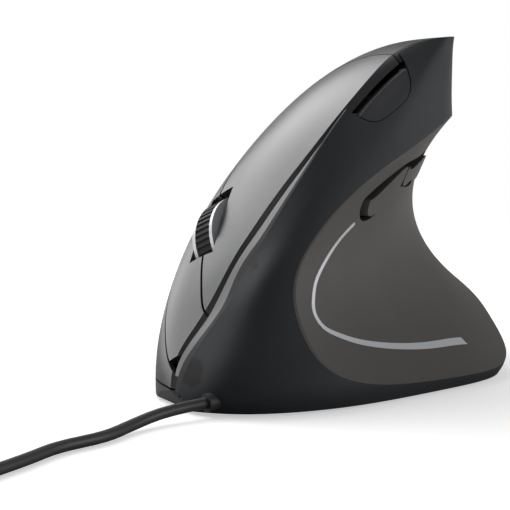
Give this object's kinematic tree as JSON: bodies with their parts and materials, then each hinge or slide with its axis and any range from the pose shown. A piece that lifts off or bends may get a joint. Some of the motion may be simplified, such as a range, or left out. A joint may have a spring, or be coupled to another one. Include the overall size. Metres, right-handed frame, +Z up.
{
  "type": "vertical ergonomic mouse",
  "caption": "Right-handed vertical computer mouse with scroll wheel, thumb scoop, side buttons and a cord coiled to its plug.",
  "frame": {"origin": "bottom centre of the body's bounding box, on the surface it stands on, without the cord", "axes": "+Z up, +Y from the nose to the palm end, +X towards the thumb side"},
  "size_m": [0.1077, 0.2282, 0.0754],
  "materials": {
    "base_plastic": "matte, fine texture",
    "soft_touch": "soft-touch coating",
    "bright_strip": "satin silver",
    "satin_cover": "satin metallic grey",
    "black_plastic": "matte",
    "gloss_black": "gloss",
    "dark_button": "matte",
    "steel": "plain",
    "wheel_rubber": "matte",
    "bright_rim": "bright silver",
    "switch_black": "moulded",
    "switch_plunger": "moulded",
    "circuit_board": "solder mask",
    "clear_lens": "clear",
    "cable_rubber": "satin",
    "foot_pad": "slick",
    "plug_metal": "plated"
  },
  "bodies": {
    "housing": {"base_shell": "base_plastic", "thumb_side_shell": "soft_touch", "thumb_strip": "bright_strip", "palm_shell": "satin_cover", "inner_frame": "black_plastic", "seam_trim": "gloss_black", "button_hinge_pins": "steel", "wheel_support": "black_plastic", "wheel_pivot_pin": "steel", "button_board": "circuit_board", "left_switch": "switch_black", "right_switch": "switch_black", "wheel_switch": "switch_black", "main_board": "circuit_board", "processor": "switch_black", "optical_sensor": "switch_black", "sensor_lens": "clear_lens", "sensor_light": "clear_lens", "side_board": "circuit_board", "forward_switch": "switch_black", "back_switch": "switch_black", "resolution_board": "circuit_board", "resolution_switch": "switch_black", "cable_socket": "switch_plunger", "cable_grommet": "cable_rubber", "board_screws": "steel", "housing_screws": "steel", "front_foot": "foot_pad", "rear_foot": "foot_pad", "mouse_cable": "cable_rubber", "cable_coil": "cable_rubber", "plug_grip": "cable_rubber", "plug_shell": "plug_metal", "plug_tongue": "base_plastic"},
    "left_button": {"left_button": "satin_cover"},
    "right_button": {"right_button": "satin_cover"},
    "wheel_carrier": {"wheel_carrier": "black_plastic", "wheel_encoder": "switch_black"},
    "wheel": {"wheel_tyre": "wheel_rubber", "wheel_hub": "bright_rim"},
    "resolution_button": {"resolution_button": "dark_button"},
    "forward_button": {"forward_button": "dark_button"},
    "back_button": {"back_button": "dark_button"},
    "left_plunger": {"left_switch_plunger": "switch_plunger"},
    "right_plunger": {"right_switch_plunger": "switch_plunger"},
    "wheel_plunger": {"wheel_switch_plunger": "switch_plunger"},
    "resolution_plunger": {"resolution_switch_plunger": "switch_plunger"},
    "forward_plunger": {"forward_switch_plunger": "switch_plunger"},
    "back_plunger": {"back_switch_plunger": "switch_plunger"}
  },
  "joints": [
    {"name": "left_press", "type": "hinge", "parent": "housing", "child": "left_button", "pos_m": [-0.00638, -0.0042, 0.05699], "axis": [0.8343, -0.3148, 0.4525], "range_deg": [0, 0.49], "stiffness_Nm_per_rad": 2, "springref_deg": -0.57},
    {"name": "right_press", "type": "hinge", "parent": "housing", "child": "right_button", "pos_m": [-0.0228, -0.00026, 0.03904], "axis": [0.4305, -0.0828, 0.8988], "range_deg": [0, 0.77], "stiffness_Nm_per_rad": 2, "springref_deg": -0.57},
    {"name": "wheel_click", "type": "hinge", "parent": "housing", "child": "wheel_carrier", "pos_m": [-0.01426, -0.03474, 0.02036], "axis": [-0.8635, 0.3164, -0.3927], "range_deg": [0, 0.95], "stiffness_Nm_per_rad": 2, "springref_deg": -0.57},
    {"name": "wheel_spin", "type": "hinge", "parent": "wheel_carrier", "child": "wheel", "pos_m": [-0.01541, -0.0252, 0.03058], "axis": [0.8635, -0.3164, 0.3927], "continuous": true},
    {"name": "resolution_press", "type": "slide", "parent": "housing", "child": "resolution_button", "axis": [-0.7081, 0.5685, -0.4189], "range_m": [0, 0.0003], "stiffness_N_per_m": 400, "springref_m": -0.0005},
    {"name": "forward_press", "type": "slide", "parent": "housing", "child": "forward_button", "axis": [-0.892, -0.0301, 0.451], "range_m": [0, 0.00035], "stiffness_N_per_m": 400, "springref_m": -0.0005},
    {"name": "back_press", "type": "slide", "parent": "housing", "child": "back_button", "axis": [-0.892, -0.0301, 0.451], "range_m": [0, 0.00035], "stiffness_N_per_m": 400, "springref_m": -0.0005},
    {"name": "left_plunger_slide", "type": "slide", "parent": "housing", "child": "left_plunger", "axis": [0.5014, 0.6217, -0.6017], "range_m": [0, 0.00041]},
    {"name": "right_plunger_slide", "type": "slide", "parent": "housing", "child": "right_plunger", "axis": [0.5014, 0.6217, -0.6017], "range_m": [0, 0.000409]},
    {"name": "wheel_plunger_slide", "type": "slide", "parent": "housing", "child": "wheel_plunger", "axis": [0.5014, 0.6217, -0.6017], "range_m": [0, 0.000507]},
    {"name": "resolution_plunger_slide", "type": "slide", "parent": "housing", "child": "resolution_plunger", "axis": [-0.7081, 0.5685, -0.4189], "range_m": [0, 0.00031]},
    {"name": "forward_plunger_slide", "type": "slide", "parent": "housing", "child": "forward_plunger", "axis": [-0.892, -0.0301, 0.451], "range_m": [0, 0.00036]},
    {"name": "back_plunger_slide", "type": "slide", "parent": "housing", "child": "back_plunger", "axis": [-0.892, -0.0301, 0.451], "range_m": [0, 0.00036]}
  ],
  "couplings": [
    {"joint": "left_plunger_slide", "follows": "left_press", "m_per_rad": 0.046718},
    {"joint": "right_plunger_slide", "follows": "right_press", "m_per_rad": 0.029697},
    {"joint": "wheel_plunger_slide", "follows": "wheel_click", "m_per_rad": 0.03},
    {"joint": "resolution_plunger_slide", "follows": "resolution_press", "ratio": 1},
    {"joint": "forward_plunger_slide", "follows": "forward_press", "ratio": 1},
    {"joint": "back_plunger_slide", "follows": "back_press", "ratio": 1}
  ]
}
